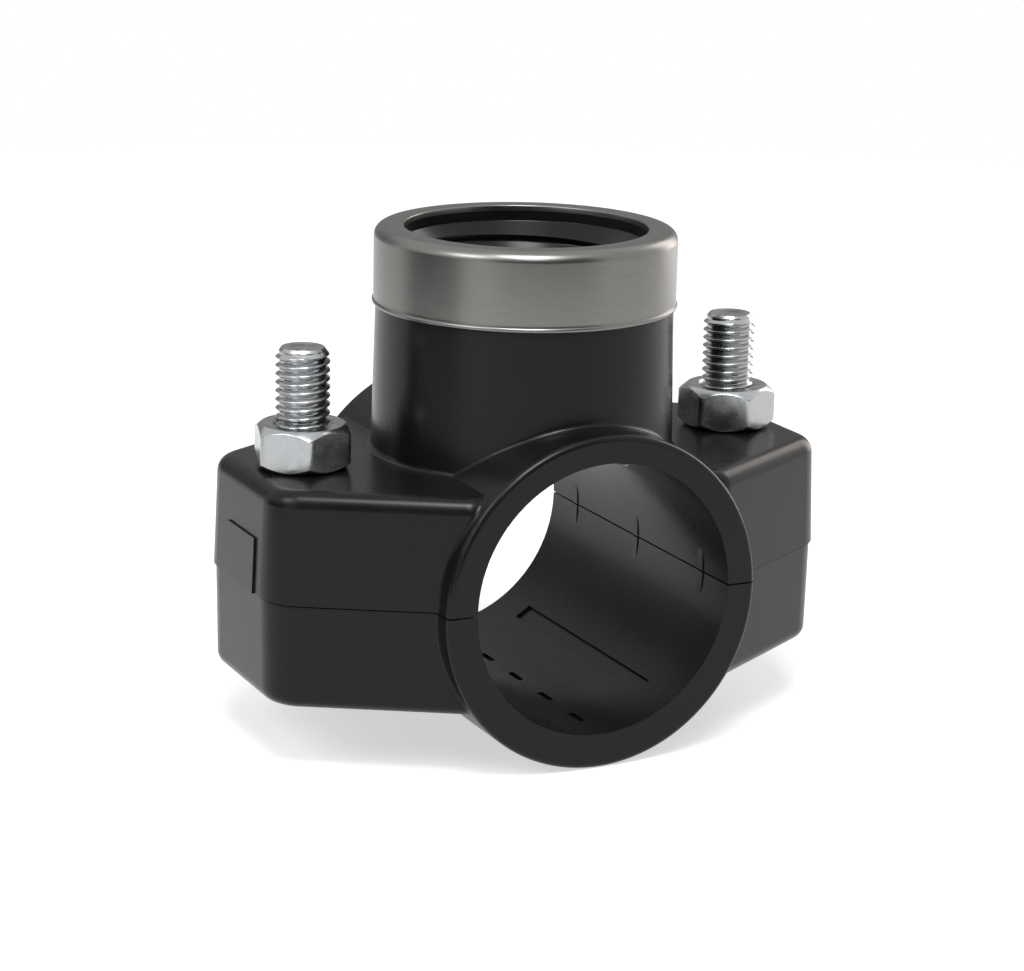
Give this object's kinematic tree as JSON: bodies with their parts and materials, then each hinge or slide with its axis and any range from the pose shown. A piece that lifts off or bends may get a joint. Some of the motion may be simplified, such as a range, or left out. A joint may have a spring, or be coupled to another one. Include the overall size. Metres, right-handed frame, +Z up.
{
  "type": "tapping saddle",
  "caption": "Two-part clamp saddle for a plastic water pipe, with a ring-reinforced threaded outlet on top and bolts with nuts that draw its halves together.",
  "frame": {"origin": "centre of the pipe bore, midway along the saddle", "axes": "+Y along the pipe, +Z up the axis of the outlet, +X across the pipe towards the right-hand bolt"},
  "size_m": [0.0907, 0.056, 0.0748],
  "materials": {
    "moulded_black": "moulded, satin",
    "ring_steel": "pressed, satin",
    "seal_rubber": "moulded, matt",
    "zinc_plate": "bright zinc plate"
  },
  "bodies": {
    "upper": {"upper_half": "moulded_black", "reinforcing_ring": "ring_steel", "seal_ring": "seal_rubber"},
    "lower": {"lower_half": "moulded_black", "bolt_left": "zinc_plate", "bolt_right": "zinc_plate"},
    "left_nut": {"nut_left": "zinc_plate"},
    "right_nut": {"nut_right": "zinc_plate"}
  },
  "joints": [
    {"name": "lower_half_slide", "type": "slide", "parent": "upper", "child": "lower", "axis": [0, 0, -1], "range_m": [0, 0.01125]},
    {"name": "nut_left_spin", "type": "hinge", "parent": "upper", "child": "left_nut", "pos_m": [-0.0352, 0, 0.0164], "axis": [0, 0, 1], "range_deg": [0, 3241]},
    {"name": "nut_right_spin", "type": "hinge", "parent": "upper", "child": "right_nut", "pos_m": [0.0352, 0, 0.0164], "axis": [0, 0, 1], "range_deg": [0, 3241]}
  ],
  "couplings": [
    {"joint": "nut_left_spin", "follows": "lower_half_slide", "rad_per_m": 5026.5},
    {"joint": "nut_right_spin", "follows": "lower_half_slide", "rad_per_m": 5026.5}
  ]
}
